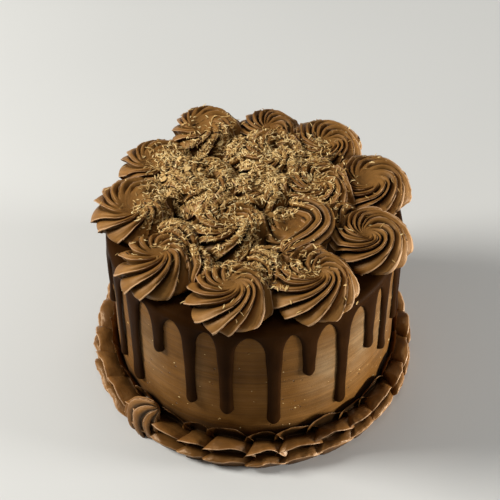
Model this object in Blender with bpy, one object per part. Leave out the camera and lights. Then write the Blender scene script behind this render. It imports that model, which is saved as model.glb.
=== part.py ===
"""Round chocolate layer cake: buttercream body, ganache cap with drips,
sixteen piped rosettes and a piped shell border round the foot.
Metres, Z up.  Origin: centre of the flat base, -Y is the front."""
import math
import bpy

# ---------------------------------------------------------------- sizes
BODY_R = 0.0815          # body radius at the shoulder
FOOT_R = 0.0800          # body radius at the base (the sides draw in a little)
BODY_H = 0.1042          # top of the buttercream body
GAP = 0.0003             # clearance between neighbouring pieces
TOP_H = 0.1070           # top face of the ganache
SHOULDER = 0.0045        # rounding of the body's top edge
COLLAR_T = 0.0013        # ganache thickness on the side
DRIP_T = 0.0027          # ganache thickness at the middle of a drip
COLLAR_L = 0.0062        # depth of the ganache collar between drips
FUNNEL_L = 0.0075        # extra depth where a drip leaves the collar

# drips: azimuth in degrees, length below the top face, half width
DRIPS = [
    (189.0, 0.052, 0.0030), (203.0, 0.077, 0.0033), (215.5, 0.080, 0.0044),
    (229.8, 0.0385, 0.0031), (244.0, 0.0695, 0.0032), (258.5, 0.0720, 0.0038),
    (277.0, 0.080, 0.0037), (290.8, 0.0430, 0.0034), (305.5, 0.0790, 0.0036),
    (320.0, 0.0480, 0.0035), (330.5, 0.0640, 0.0030), (343.0, 0.0560, 0.0031),
    (356.5, 0.0710, 0.0035), (11.0, 0.0410, 0.0032), (26.0, 0.0640, 0.0036),
    (41.0, 0.0770, 0.0034), (55.0, 0.0460, 0.0030), (70.0, 0.0670, 0.0037),
    (84.5, 0.0370, 0.0032), (99.0, 0.0740, 0.0035), (114.0, 0.0500, 0.0033),
    (129.0, 0.0790, 0.0038), (145.0, 0.0430, 0.0031), (160.0, 0.0690, 0.0035),
    (175.0, 0.0600, 0.0032),
]

# rosettes: centre x, y, radius, height, swirl offset x, y, lift, ridges,
# phase and total twist in degrees (clockwise seen from above); millimetres
ROSETTES = [
    (-66.5, 2.5, 24.0, 17.0, 0.0, -8.0, 0.0, 12, 4, 125),
    (-54.5, 36.0, 22.0, 16.0, -3.0, -4.0, 0.0, 12, 9, 130),
    (-27.0, 62.0, 21.0, 19.5, -4.0, -3.0, 0.0, 12, 0, 140),
    (8.5, 63.5, 19.5, 15.5, 1.0, -2.0, 0.0, 12, 14, 150),
    (39.5, 51.0, 22.5, 17.0, 2.5, -5.0, 0.0, 12, 6, 190),
    (65.0, 19.5, 23.5, 17.5, -2.0, -6.0, 0.0, 11, 11, 205),
    (62.5, -23.3, 23.0, 18.0, -2.0, -2.0, 0.0, 11, 3, 215),
    (30.0, -56.0, 24.5, 18.0, 5.0, 3.0, 0.0, 12, 8, 170),
    (-13.5, -63.0, 24.0, 18.0, 3.0, 2.0, 0.0, 12, 2, 155),
    (-53.5, -41.2, 22.2, 18.0, 3.5, 4.5, 0.0, 11, 12, 130),
    (22.5, -20.5, 23.5, 14.5, 0.0, 3.0, 0.5, 10, 5, 190),
    (35.0, 12.5, 23.0, 19.5, 1.0, -1.0, 0.5, 10, 10, 200),
    (-14.0, -16.0, 23.5, 18.5, 1.0, 1.0, 0.5, 10, 0, 170),
    (9.0, 37.5, 21.5, 18.5, 1.0, 0.0, 0.5, 10, 7, 150),
    (-28.0, 16.5, 23.0, 18.5, 1.0, 0.0, 0.5, 10, 13, 140),
    (4.0, 8.5, 17.0, 20.0, 0.0, 0.0, 0.5, 9, 3, 130),
]
# rosette profile: radius share, height share, groove depth (mm),
# groove direction outward and up, twist share
PROFILE = [
    (0.20, 0.86, 0.7, 0.00, 1.00, 0.20),
    (0.50, 1.00, 1.7, 0.10, 0.99, 0.48),
    (0.80, 0.76, 2.5, 0.68, 0.73, 0.78),
    (1.00, 0.27, 3.0, 1.00, 0.10, 1.00),
    (0.88, 0.00, 1.4, 1.00, 0.00, 1.06),
]
EDGE_R = 0.0848          # rosette feet stay inside this radius
DROOP = 0.50             # how much the overhanging petals hang down

# shell border
SHELLS = 28
SHELL_OFF_X = -0.0016    # the border sits slightly to the left of the body
SHELL_R = 0.0942         # outer reach of the border
# section of one shell: share of the width from the wall, height (mm)
SHELL_SECTION = [
    (0.00, 0.0), (0.00, 13.0), (0.12, 22.5), (0.34, 15.0),
    (0.72, 15.5), (0.66, 8.6), (1.00, 6.0), (0.86, 0.0),
]
# stations along one shell: share of its length, size
SHELL_STATIONS = [(0.0, 0.76), (0.16, 0.97), (0.42, 1.00), (1.0, 0.74)]


# ---------------------------------------------------------------- helpers
def clear_scene():
    for ob in list(bpy.data.objects):
        bpy.data.objects.remove(ob, do_unlink=True)
    for store in (bpy.data.meshes, bpy.data.materials):
        for block in list(store):
            store.remove(block)


def make_material(name, colour, roughness):
    mat = bpy.data.materials.new(name)
    mat.use_nodes = True
    shader = mat.node_tree.nodes.get("Principled BSDF")
    shader.inputs["Base Color"].default_value = (*colour, 1.0)
    shader.inputs["Roughness"].default_value = roughness
    mat.diffuse_color = (*colour, 1.0)
    return mat


def make_object(name, verts, faces, mat, smooth=None):
    mesh = bpy.data.meshes.new(name)
    mesh.from_pydata(verts, [], faces)
    mesh.validate()
    mesh.update()
    ob = bpy.data.objects.new(name, mesh)
    bpy.context.scene.collection.objects.link(ob)
    mesh.materials.append(mat)
    if smooth is not None:
        mesh.shade_smooth()
        mesh.set_sharp_from_angle(angle=math.radians(smooth))
    return ob


def join_rings(rings, closed_top, closed_bottom):
    """Skin equal rings of points; optional centre points close both ends."""
    n = len(rings[0])
    verts = [p for ring in rings for p in ring]
    faces = []
    for k in range(len(rings) - 1):
        a, b = k * n, (k + 1) * n
        for j in range(n):
            i = (j + 1) % n
            faces.append((a + j, b + j, b + i, a + i))
    if closed_top is not None:
        c = len(verts)
        verts.append(closed_top)
        for j in range(n):
            faces.append((c, j, (j + 1) % n))
    if closed_bottom is not None:
        c = len(verts)
        verts.append(closed_bottom)
        a = (len(rings) - 1) * n
        for j in range(n):
            faces.append((c, a + (j + 1) % n, a + j))
    return verts, faces


def body_radius(z):
    """Radius of the straight, slightly tapered side at height z."""
    return FOOT_R + (BODY_R - FOOT_R) * z / (BODY_H - SHOULDER)


# ---------------------------------------------------------------- body
def build_body(mat):
    seg = 64
    profile = [(BODY_R - SHOULDER, BODY_H)]
    for k in range(1, 3):
        a = math.radians(45.0 * k)
        profile.append((BODY_R - SHOULDER + SHOULDER * math.sin(a),
                        BODY_H - SHOULDER + SHOULDER * math.cos(a)))
    profile.append((FOOT_R, 0.0))
    rings = []
    for r, z in profile:
        rings.append([(r * math.cos(2 * math.pi * j / seg),
                       r * math.sin(2 * math.pi * j / seg), z)
                      for j in range(seg)])
    verts, faces = join_rings(rings, (0, 0, BODY_H), (0, 0, 0))
    return make_object("cake_body", verts, faces, mat, 40)


# ---------------------------------------------------------------- ganache
def build_ganache(mat):
    columns = []      # azimuth, depth, thickness
    order = sorted(DRIPS)
    for az, length, half in order:
        deg = math.degrees(1.0 / 0.083)
        for off, depth, thick in (
                (-(half + 0.0026), COLLAR_L, COLLAR_T),
                (-(half + 0.0003), COLLAR_L + FUNNEL_L, COLLAR_T),
                (-half, length - 0.75 * half, 0.55 * DRIP_T),
                (0.0, length, DRIP_T),
                (half, length - 0.75 * half, 0.55 * DRIP_T),
                (half + 0.0003, COLLAR_L + FUNNEL_L, COLLAR_T),
                (half + 0.0026, COLLAR_L, COLLAR_T)):
            columns.append((az + off * deg, depth, thick))
    inner_r = BODY_R - SHOULDER
    inner_z = BODY_H + GAP
    bend = SHOULDER + GAP
    rings = [[] for _ in range(8)]
    for az, depth, thick in columns:
        a = math.radians(az)
        c, s = math.cos(a), math.sin(a)
        z_end = TOP_H - depth
        z_low = TOP_H - (0.0060 + 0.88 * (depth - 0.0060))
        prof = [
            (BODY_R - 0.0030, TOP_H),
            (BODY_R + GAP + COLLAR_T * 0.85, TOP_H - 0.0026),
            (body_radius(z_low) + GAP + thick, z_low),
            (body_radius(z_end) + GAP + 0.0006, z_end),
            (body_radius(z_end) + GAP, z_end + 0.0004),
            (BODY_R + GAP, BODY_H - SHOULDER),
            (inner_r + 0.7071 * bend, BODY_H - SHOULDER + 0.7071 * bend),
            (inner_r, inner_z),
        ]
        for ring, (r, z) in zip(rings, prof):
            ring.append((r * c, r * s, z))
    verts, faces = join_rings(rings, (0, 0, TOP_H), (0, 0, inner_z))
    return make_object("ganache_drip", verts, faces, mat, 35)


# ---------------------------------------------------------------- rosettes
def cell_planes(index):
    """Planes that part a rosette from its neighbours: direction, limit."""
    x0, y0, r0 = ROSETTES[index][0:3]
    planes = []
    for k, other in enumerate(ROSETTES):
        if k == index:
            continue
        dx, dy = other[0] - x0, other[1] - y0
        d = math.hypot(dx, dy)
        lim = (d * d + r0 * r0 - other[2] * other[2]) / (2.0 * d)
        if lim < r0 + 8.0:
            planes.append((dx / d, dy / d, lim - 0.16))
    return planes


def squeeze(planes, ux, uy, radius):
    """Share of the radius left free in one direction by the neighbours."""
    s = 1.0
    for nx, ny, lim in planes:
        q = ux * nx + uy * ny
        if q > 1e-6:
            s = min(s, lim / (q * radius))
    return s


def hold_inside(planes, px, py):
    t = 1.0
    for nx, ny, lim in planes:
        q = px * nx + py * ny
        if q > lim:
            t = min(t, lim / q)
    return px * t, py * t


def build_rosette(index, mat):
    x0, y0, r0, h0, sx, sy, lift, ridges, phase, twist = ROSETTES[index]
    planes = cell_planes(index)
    base = TOP_H * 1000.0 + 0.3
    n = 2 * ridges
    rings = []
    for rho, zs, groove, gr, gz, tw in PROFILE:
        ring = []
        fade = max(0.0, 1.0 - rho) ** 1.2
        for j in range(n):
            low = j % 2
            a = math.radians(phase + 360.0 * j / n - twist * tw)
            ux, uy = math.cos(a), math.sin(a)
            s = squeeze(planes, ux, uy, r0)
            free = 1.0 - (1.0 - s) * rho ** 1.5
            rad = r0 * rho * free - low * groove * gr
            z = h0 * zs - low * groove * gz
            px = sx * fade + rad * ux
            py = sy * fade + rad * uy
            px, py = hold_inside(planes, px, py)
            wx, wy = x0 + px, y0 + py
            far = math.hypot(wx, wy)
            if zs == 0.0:
                if far > EDGE_R * 1000.0:
                    wx *= EDGE_R * 1000.0 / far
                    wy *= EDGE_R * 1000.0 / far
                z = 0.0
            elif zs < 0.5:
                z -= DROOP * max(0.0, far - EDGE_R * 1000.0 - 1.0)
            if zs > 0.0:
                z += lift * zs
            ring.append((wx / 1000.0, wy / 1000.0, (base + z) / 1000.0))
        rings.append(ring)
    top = ((x0 + sx) / 1000.0, (y0 + sy) / 1000.0,
           (base + 0.84 * h0 + lift) / 1000.0)
    verts, faces = join_rings(rings, top, (x0 / 1000.0, y0 / 1000.0,
                                           base / 1000.0))
    name = "rosette_%02d" % (index + 1)
    return make_object(name, verts, faces, mat)


# ---------------------------------------------------------------- shells
def wall_clear(az, z):
    """Distance from the border's centre to the body's side on this bearing."""
    c, s = math.cos(az), math.sin(az)
    r = body_radius(z) + GAP
    off = SHELL_OFF_X
    return -off * c + math.sqrt(r * r - off * off * s * s)


def build_shell(index, mat):
    step = 2.0 * math.pi / SHELLS
    jitter = 0.10 * math.sin(2.7 * index + 0.6)
    ahead = 0.10 * math.sin(2.7 * (index + 1) + 0.6)
    a0 = (index + jitter) * step
    a1 = (index + 1 + ahead) * step - 0.00035 / SHELL_R
    big = 1.0 + 0.05 * math.sin(4.1 * index + 1.0)
    n = len(SHELL_SECTION)
    rings = []
    for share, size in SHELL_STATIONS:
        a = a0 + (a1 - a0) * share
        reach = (SHELL_R - wall_clear(a, 0.0)) * (0.55 + 0.45 * size)
        ring = []
        for w, h in SHELL_SECTION:
            z = h * size * big / 1000.0
            r = wall_clear(a, z) + 0.0001 + reach * w * (0.97 + 0.03 * big)
            ring.append((SHELL_OFF_X + r * math.cos(a), r * math.sin(a), z))
        rings.append(ring)
    verts = [p for ring in rings for p in ring]
    faces = []
    for k in range(len(rings) - 1):
        a, b = k * n, (k + 1) * n
        for j in range(n):
            i = (j + 1) % n
            faces.append((a + j, a + i, b + i, b + j))
    faces.append(tuple(n - 1 - j for j in range(n)))
    last = (len(rings) - 1) * n
    faces.append(tuple(last + j for j in range(n)))
    return make_object("shell_%02d" % (index + 1), verts, faces, mat)


def main():
    clear_scene()
    body = make_material("buttercream", (0.165, 0.078, 0.032), 0.55)
    dark = make_material("ganache", (0.022, 0.010, 0.005), 0.28)
    swirl = make_material("rosette_cream", (0.175, 0.082, 0.030), 0.50)
    border = make_material("border_cream", (0.150, 0.068, 0.026), 0.50)
    build_body(body)
    build_ganache(dark)
    for k in range(len(ROSETTES)):
        build_rosette(k, swirl)
    for k in range(SHELLS):
        build_shell(k, border)


main()
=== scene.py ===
"""Looks of the round chocolate cake: buttercream side, ganache drips, piped
rosettes, piped shell border and grated chocolate, in metres, Z up."""

import math

import bpy
import numpy as np
from mathutils import Matrix, Vector
from mathutils.bvhtree import BVHTree


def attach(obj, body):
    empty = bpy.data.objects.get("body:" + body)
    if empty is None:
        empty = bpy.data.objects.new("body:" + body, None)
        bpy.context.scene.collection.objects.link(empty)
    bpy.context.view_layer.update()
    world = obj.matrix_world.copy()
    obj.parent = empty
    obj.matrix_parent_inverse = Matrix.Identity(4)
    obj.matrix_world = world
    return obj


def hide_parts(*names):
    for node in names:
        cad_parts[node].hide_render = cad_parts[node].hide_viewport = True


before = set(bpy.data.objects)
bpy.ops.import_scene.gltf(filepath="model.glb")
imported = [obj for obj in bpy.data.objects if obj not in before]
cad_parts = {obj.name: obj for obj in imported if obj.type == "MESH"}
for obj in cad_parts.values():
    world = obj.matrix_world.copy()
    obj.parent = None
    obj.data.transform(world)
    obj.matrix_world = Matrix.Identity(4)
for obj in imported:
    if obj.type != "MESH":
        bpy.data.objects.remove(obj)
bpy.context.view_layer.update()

# ---------------------------------------------------------------- sizes
BODY_R = 0.0815
FOOT_R = 0.0800
BODY_H = 0.1042
GAP = 0.0003
TOP_H = 0.1070
SHOULDER = 0.0045
COLLAR_T = 0.0013
DRIP_T = 0.0027
COLLAR_L = 0.0062

# drips: azimuth in degrees, length below the top face, half width
DRIPS = [
    (189.0, 0.052, 0.0030), (203.0, 0.077, 0.0033), (215.5, 0.080, 0.0044),
    (229.8, 0.0385, 0.0031), (244.0, 0.0695, 0.0032), (258.5, 0.0720, 0.0038),
    (277.0, 0.080, 0.0037), (290.8, 0.0430, 0.0034), (305.5, 0.0790, 0.0036),
    (320.0, 0.0480, 0.0035), (330.5, 0.0640, 0.0030), (343.0, 0.0560, 0.0031),
    (356.5, 0.0710, 0.0035), (11.0, 0.0410, 0.0032), (26.0, 0.0640, 0.0036),
    (41.0, 0.0770, 0.0034), (55.0, 0.0460, 0.0030), (70.0, 0.0670, 0.0037),
    (84.5, 0.0370, 0.0032), (99.0, 0.0740, 0.0035), (114.0, 0.0500, 0.0033),
    (129.0, 0.0790, 0.0038), (145.0, 0.0430, 0.0031), (160.0, 0.0690, 0.0035),
    (175.0, 0.0600, 0.0032),
]

# rosettes: centre x, y, radius, height, swirl offset x, y, lift, ridges,
# phase and total twist in degrees (clockwise seen from above); millimetres
ROSETTES = [
    (-66.5, 2.5, 24.0, 17.0, 0.0, -8.0, 0.0, 12, 4, 125),
    (-54.5, 36.0, 22.0, 16.0, -3.0, -4.0, 0.0, 12, 9, 130),
    (-27.0, 62.0, 21.0, 19.5, -4.0, -3.0, 0.0, 12, 0, 140),
    (8.5, 63.5, 19.5, 15.5, 1.0, -2.0, 0.0, 12, 14, 150),
    (39.5, 51.0, 22.5, 17.0, 2.5, -5.0, 0.0, 12, 6, 190),
    (65.0, 19.5, 23.5, 17.5, -2.0, -6.0, 0.0, 11, 11, 205),
    (62.5, -23.3, 23.0, 18.0, -2.0, -2.0, 0.0, 11, 3, 215),
    (30.0, -56.0, 24.5, 18.0, 5.0, 3.0, 0.0, 12, 8, 170),
    (-13.5, -63.0, 24.0, 18.0, 3.0, 2.0, 0.0, 12, 2, 155),
    (-53.5, -41.2, 22.2, 18.0, 3.5, 4.5, 0.0, 11, 12, 130),
    (22.5, -20.5, 23.5, 14.5, 0.0, 3.0, 0.5, 10, 5, 190),
    (35.0, 12.5, 23.0, 19.5, 1.0, -1.0, 0.5, 10, 10, 200),
    (-14.0, -16.0, 23.5, 18.5, 1.0, 1.0, 0.5, 10, 0, 170),
    (9.0, 37.5, 21.5, 18.5, 1.0, 0.0, 0.5, 10, 7, 150),
    (-28.0, 16.5, 23.0, 18.5, 1.0, 0.0, 0.5, 10, 13, 140),
    (4.0, 8.5, 17.0, 20.0, 0.0, 0.0, 0.5, 9, 3, 130),
]
# how deep the grooves are, and how far the smooth middle reaches
DEEP = [0.80, 0.75, 0.80, 0.90, 1.15, 1.20, 1.20, 1.10, 1.05, 1.05,
        0.55, 1.05, 1.00, 0.60, 0.55, 0.50]
HUB = [0.40, 0.40, 0.40, 0.20, 0.26, 0.38, 0.20, 0.22, 0.28, 0.26,
       0.45, 0.18, 0.20, 0.20, 0.20, 0.20]
# how much painted shade a groove keeps: above 1 more, below 1 less; more on the rosettes turned away from the lamp
GROOVE_SHADE_POWER = [0.72, 0.85, 0.90, 1.25, 1.35, 1.75, 1.75, 1.35, 1.15, 0.82,
         1.35, 1.00, 1.00, 1.00, 1.00, 1.00]
EDGE_R = 0.0848
DROOP = 0.50

SHELLS = 28
SHELL_OFF_X = -0.0016
SHELL_R = 0.0942


# ---------------------------------------------------------------- helpers
def lattice(ix, iy, iz, seed):
    h = (ix * 374761393 + iy * 668265263 + iz * 1442695041
         + seed * 1274126177) & 0xFFFFFFFF
    h = ((h ^ (h >> 13)) * 1274126177) & 0xFFFFFFFF
    h = h ^ (h >> 16)
    return (h & 0xFFFF) / 32767.5 - 1.0


def noise(x, y, z, seed=0):
    """Smooth value noise from -1 to 1 on arrays of coordinates."""
    x, y, z = np.broadcast_arrays(x, y, z)
    fx, fy, fz = np.floor(x), np.floor(y), np.floor(z)
    ix, iy, iz = (fx.astype(np.int64), fy.astype(np.int64),
                  fz.astype(np.int64))
    u, v, w = x - fx, y - fy, z - fz
    u, v, w = (u * u * (3 - 2 * u), v * v * (3 - 2 * v), w * w * (3 - 2 * w))
    out = 0.0
    for dx in (0, 1):
        wx = u if dx else 1 - u
        for dy in (0, 1):
            wy = v if dy else 1 - v
            for dz in (0, 1):
                wz = w if dz else 1 - w
                out = out + wx * wy * wz * lattice(ix + dx, iy + dy, iz + dz,
                                                   seed)
    return out


def smooth(a, b, x):
    t = np.clip((x - a) / (b - a), 0.0, 1.0)
    return t * t * (3.0 - 2.0 * t)


def curve(xs, ys, x):
    """Smooth curve through the given points, read at x."""
    xs, ys = np.asarray(xs, float), np.asarray(ys, float)
    m = np.zeros_like(ys)
    d = np.diff(ys) / np.diff(xs)
    m[0], m[-1] = d[0], d[-1]
    for k in range(1, len(xs) - 1):
        w0, w1 = xs[k + 1] - xs[k], xs[k] - xs[k - 1]
        m[k] = (d[k - 1] * w0 + d[k] * w1) / (w0 + w1)
    x = np.clip(x, xs[0], xs[-1])
    i = np.clip(np.searchsorted(xs, x, side="right") - 1, 0, len(xs) - 2)
    h = xs[i + 1] - xs[i]
    t = (x - xs[i]) / h
    return ((1 + 2 * t) * (1 - t) ** 2 * ys[i] + t * (1 - t) ** 2 * h * m[i]
            + t * t * (3 - 2 * t) * ys[i + 1] + t * t * (t - 1) * h * m[i + 1])


def body_radius(z):
    return FOOT_R + (BODY_R - FOOT_R) * z / (BODY_H - SHOULDER)


def grid_faces(rows, cols, wrap, offset=0):
    """Quads of a grid of points, rows by cols, closed across if wrap."""
    r = np.arange(rows - 1)[:, None]
    c = np.arange(cols if wrap else cols - 1)[None, :]
    n = (c + 1) % cols
    a = r * cols
    b = (r + 1) * cols
    return np.stack([a + c, b + c, b + n, a + n], -1).reshape(-1, 4) + offset


def mesh_piece(name, verts, faces, mat, nodes=(), floats=None,
               vectors=None, flat=False):
    """A shown mesh from arrays. faces is a list of (n, 3) and (n, 4) arrays."""
    verts = np.asarray(verts, np.float32).reshape(-1, 3)
    mesh = bpy.data.meshes.new(name)
    mesh.vertices.add(len(verts))
    mesh.vertices.foreach_set("co", verts.ravel())
    loops = np.concatenate([f.ravel() for f in faces]).astype(np.int32)
    sizes = np.concatenate([np.full(len(f), f.shape[1]) for f in faces])
    starts = np.concatenate([[0], np.cumsum(sizes)[:-1]]).astype(np.int32)
    mesh.loops.add(len(loops))
    mesh.loops.foreach_set("vertex_index", loops)
    mesh.polygons.add(len(sizes))
    mesh.polygons.foreach_set("loop_start", starts)
    mesh.update(calc_edges=True)
    if flat:
        mesh.shade_flat()
    else:
        mesh.shade_smooth()
    for key, values in (floats or {}).items():
        layer = mesh.attributes.new(key, "FLOAT", "POINT")
        layer.data.foreach_set("value", np.asarray(values,
                                                   np.float32).ravel())
    for key, values in (vectors or {}).items():
        layer = mesh.attributes.new(key, "FLOAT_VECTOR", "POINT")
        layer.data.foreach_set("vector", np.asarray(values,
                                                    np.float32).ravel())
    mesh.validate()
    mesh.materials.append(mat)
    ob = bpy.data.objects.new(name, mesh)
    bpy.context.scene.collection.objects.link(ob)
    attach(ob, "root")
    if nodes:
        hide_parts(*nodes)
    return ob


# ---------------------------------------------------------------- materials
class Tree:
    """Short way of writing a procedural material."""

    def __init__(self, name):
        self.mat = bpy.data.materials.new(name)
        self.mat.use_nodes = True
        self.tree = self.mat.node_tree
        self.shader = self.tree.nodes["Principled BSDF"]

    def add(self, kind, **inputs):
        node = self.tree.nodes.new(kind)
        for key, value in inputs.items():
            key = key.replace("_", " ")
            if hasattr(node, key) and key not in node.inputs:
                setattr(node, key, value)
            else:
                self.plug(value, node.inputs[key])
        return node

    def plug(self, value, socket):
        if isinstance(value, bpy.types.NodeSocket):
            self.tree.links.new(value, socket)
        else:
            socket.default_value = value

    def coords(self):
        return self.tree.nodes.new("ShaderNodeTexCoord").outputs["Object"]

    def scaled(self, vector, scale):
        node = self.tree.nodes.new("ShaderNodeMapping")
        self.plug(vector, node.inputs["Vector"])
        node.inputs["Scale"].default_value = scale
        return node.outputs["Vector"]

    def noise(self, vector, scale, detail=3.0, rough=0.55):
        node = self.tree.nodes.new("ShaderNodeTexNoise")
        self.plug(vector, node.inputs["Vector"])
        node.inputs["Scale"].default_value = scale
        node.inputs["Detail"].default_value = detail
        node.inputs["Roughness"].default_value = rough
        return node.outputs["Fac"]

    def ramp(self, fac, *stops):
        node = self.tree.nodes.new("ShaderNodeValToRGB")
        self.plug(fac, node.inputs["Fac"])
        ramp = node.color_ramp
        while len(ramp.elements) < len(stops):
            ramp.elements.new(0.5)
        for element, (place, colour) in zip(ramp.elements, stops):
            element.position = place
            if isinstance(colour, (int, float)):
                colour = (colour, colour, colour)
            element.color = (*colour, 1.0)
        return node.outputs["Color"]

    def range(self, value, a, b, c, d):
        node = self.tree.nodes.new("ShaderNodeMapRange")
        self.plug(value, node.inputs["Value"])
        for key, v in zip(("From Min", "From Max", "To Min", "To Max"),
                          (a, b, c, d)):
            node.inputs[key].default_value = v
        return node.outputs["Result"]

    def math(self, kind, a, b=0.0):
        node = self.tree.nodes.new("ShaderNodeMath")
        node.operation = kind
        self.plug(a, node.inputs[0])
        self.plug(b, node.inputs[1])
        return node.outputs[0]

    def mix(self, fac, a, b, kind="MIX"):
        node = self.tree.nodes.new("ShaderNodeMix")
        node.data_type = "RGBA"
        node.blend_type = kind
        self.plug(fac, node.inputs[0])
        for value, socket in ((a, node.inputs[6]), (b, node.inputs[7])):
            if isinstance(value, tuple):
                value = (*value, 1.0)
            self.plug(value, socket)
        return node.outputs[2]

    def attribute(self, name, kind="Fac"):
        node = self.tree.nodes.new("ShaderNodeAttribute")
        node.attribute_name = name
        return node.outputs[kind]

    def bump(self, height, distance, strength=1.0, after=None):
        node = self.tree.nodes.new("ShaderNodeBump")
        self.plug(height, node.inputs["Height"])
        node.inputs["Distance"].default_value = distance
        node.inputs["Strength"].default_value = strength
        if after is not None:
            self.plug(after, node.inputs["Normal"])
        return node.outputs["Normal"]

    def finish(self, colour, rough, normal):
        self.plug(colour, self.shader.inputs["Base Color"])
        self.plug(rough, self.shader.inputs["Roughness"])
        self.plug(normal, self.shader.inputs["Normal"])
        return self.mat


SHEEN_TINT = (1.0, 0.72, 0.46, 1.0)     # butter and cocoa warm the gloss


def cream_material(name, dark, mid, light, specular=0.30, rough_at=0.40):
    """Piped cream: colour drifts slowly, drag lines run along each ridge, and the crest attribute paints a highlight
    on the thin crests and shade in the grooves."""
    m = Tree(name)
    at = m.coords()
    drift = m.noise(at, 70.0, 3.0)
    grain = m.noise(at, 900.0, 4.0, 0.65)
    flow = m.attribute("flow", "Vector")
    drag = m.noise(flow, 1.0, 4.0, 0.6)
    colour = m.ramp(drift, (0.30, dark), (0.52, mid), (0.75, light))
    streak = m.ramp(drag, (0.30, 0.80), (0.70, 1.16))
    colour = m.mix(1.0, colour, streak, "MULTIPLY")
    # painted shade darkens the grooves and a painted highlight lifts the crests
    crest = m.attribute("crest")
    groove = m.ramp(crest, (0.0, 0.11), (0.22, 0.42), (0.50, 0.88),
                    (0.88, 1.06), (0.93, 1.10), (1.0, 1.60))
    colour = m.mix(1.0, colour, groove, "MULTIPLY")
    # painted highlight: the thin crests turn paler and greyer
    edge = m.range(crest, 0.92, 1.0, 0.0, 0.55)
    colour = m.mix(edge, colour, (0.50, 0.335, 0.205))
    rough = m.range(m.math("ADD", drag, grain), 0.6, 1.5, rough_at,
                    rough_at + 0.20)
    normal = m.bump(grain, 0.00016, 0.8)
    normal = m.bump(drag, 0.00030, 0.9, normal)
    m.shader.inputs["Specular IOR Level"].default_value = specular
    m.shader.inputs["Specular Tint"].default_value = SHEEN_TINT
    return m.finish(colour, rough, normal)


def side_material():
    """Scraped buttercream: level streaks, small pits with painted shade inside, pale specks, and pale patches that
    are partly smears and partly painted sheen.
    """
    m = Tree("buttercream_side")
    at = m.coords()
    drift = m.noise(at, 32.0, 3.0)
    level = m.noise(m.scaled(at, (14.0, 14.0, 620.0)), 1.0, 4.0, 0.6)
    broad = m.noise(m.scaled(at, (9.0, 9.0, 120.0)), 1.0, 3.0, 0.5)
    grain = m.noise(at, 1100.0, 4.0, 0.7)
    pits = m.tree.nodes.new("ShaderNodeTexVoronoi")
    m.plug(at, pits.inputs["Vector"])
    pits.inputs["Scale"].default_value = 210.0
    gate = m.noise(at, 120.0, 2.0)
    pit = m.math("MULTIPLY", m.range(pits.outputs["Distance"],
                                     0.05, 0.17, 1.0, 0.0),
                 m.range(gate, 0.52, 0.62, 0.0, 1.0))
    colour = m.ramp(drift, (0.30, (0.112, 0.045, 0.007)),
                    (0.52, (0.158, 0.066, 0.012)),
                    (0.75, (0.222, 0.102, 0.026)))
    # pale greyer patches: partly smears, partly painted sheen
    cloud = m.noise(m.scaled(at, (70.0, 70.0, 110.0)), 1.0, 4.0, 0.6)
    smear_and_sheen = m.math("MULTIPLY", m.attribute("smear_and_sheen"),
                  m.range(cloud, 0.36, 0.62, 0.45, 1.0))
    colour = m.mix(smear_and_sheen, colour, (0.265, 0.166, 0.080))
    streak = m.ramp(level, (0.30, 0.78), (0.70, 1.18))
    colour = m.mix(1.0, colour, streak, "MULTIPLY")
    streak = m.ramp(broad, (0.30, 0.80), (0.70, 1.18))
    colour = m.mix(1.0, colour, streak, "MULTIPLY")
    # painted shade inside the pits
    colour = m.mix(pit, colour, (0.060, 0.030, 0.014))
    # painted shade: darker towards the foot, where it meets the border
    place = m.tree.nodes.new("ShaderNodeSeparateXYZ")
    m.plug(at, place.inputs[0])
    foot = m.ramp(m.range(place.outputs["Z"], 0.006, 0.026, 0.0, 1.0),
                  (0.0, 0.25), (1.0, 1.0))
    colour = m.mix(1.0, colour, foot, "MULTIPLY")
    rough = m.range(m.math("ADD", level, grain), 0.6, 1.5, 0.42, 0.64)
    normal = m.bump(grain, 0.00014, 0.8)
    normal = m.bump(level, 0.00022, 0.9, normal)
    normal = m.bump(m.math("SUBTRACT", 1.0, pit), 0.00035, 1.0, normal)
    m.shader.inputs["Specular IOR Level"].default_value = 0.06
    m.shader.inputs["Specular Tint"].default_value = SHEEN_TINT
    m.shader.inputs["Sheen Weight"].default_value = 0.20
    m.shader.inputs["Sheen Roughness"].default_value = 0.30
    m.shader.inputs["Sheen Tint"].default_value = (1.0, 0.80, 0.62, 1.0)
    return m.finish(colour, rough, normal)


def ganache_material():
    """Set dark ganache: nearly black brown, satin, with faint dull patches."""
    m = Tree("ganache_satin")
    at = m.coords()
    drift = m.noise(at, 60.0, 3.0)
    wave = m.noise(m.scaled(at, (160.0, 160.0, 40.0)), 1.0, 3.0, 0.5)
    grain = m.noise(at, 1500.0, 3.0, 0.6)
    colour = m.ramp(drift, (0.30, (0.017, 0.0060, 0.0014)),
                    (0.70, (0.028, 0.0105, 0.0026)))
    rough = m.range(m.math("ADD", drift, grain), 0.6, 1.4, 0.36, 0.52)
    normal = m.bump(wave, 0.00040, 0.5)
    normal = m.bump(grain, 0.00006, 0.6, normal)
    m.shader.inputs["Specular IOR Level"].default_value = 0.012
    m.shader.inputs["Specular Tint"].default_value = SHEEN_TINT
    return m.finish(colour, rough, normal)


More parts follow.
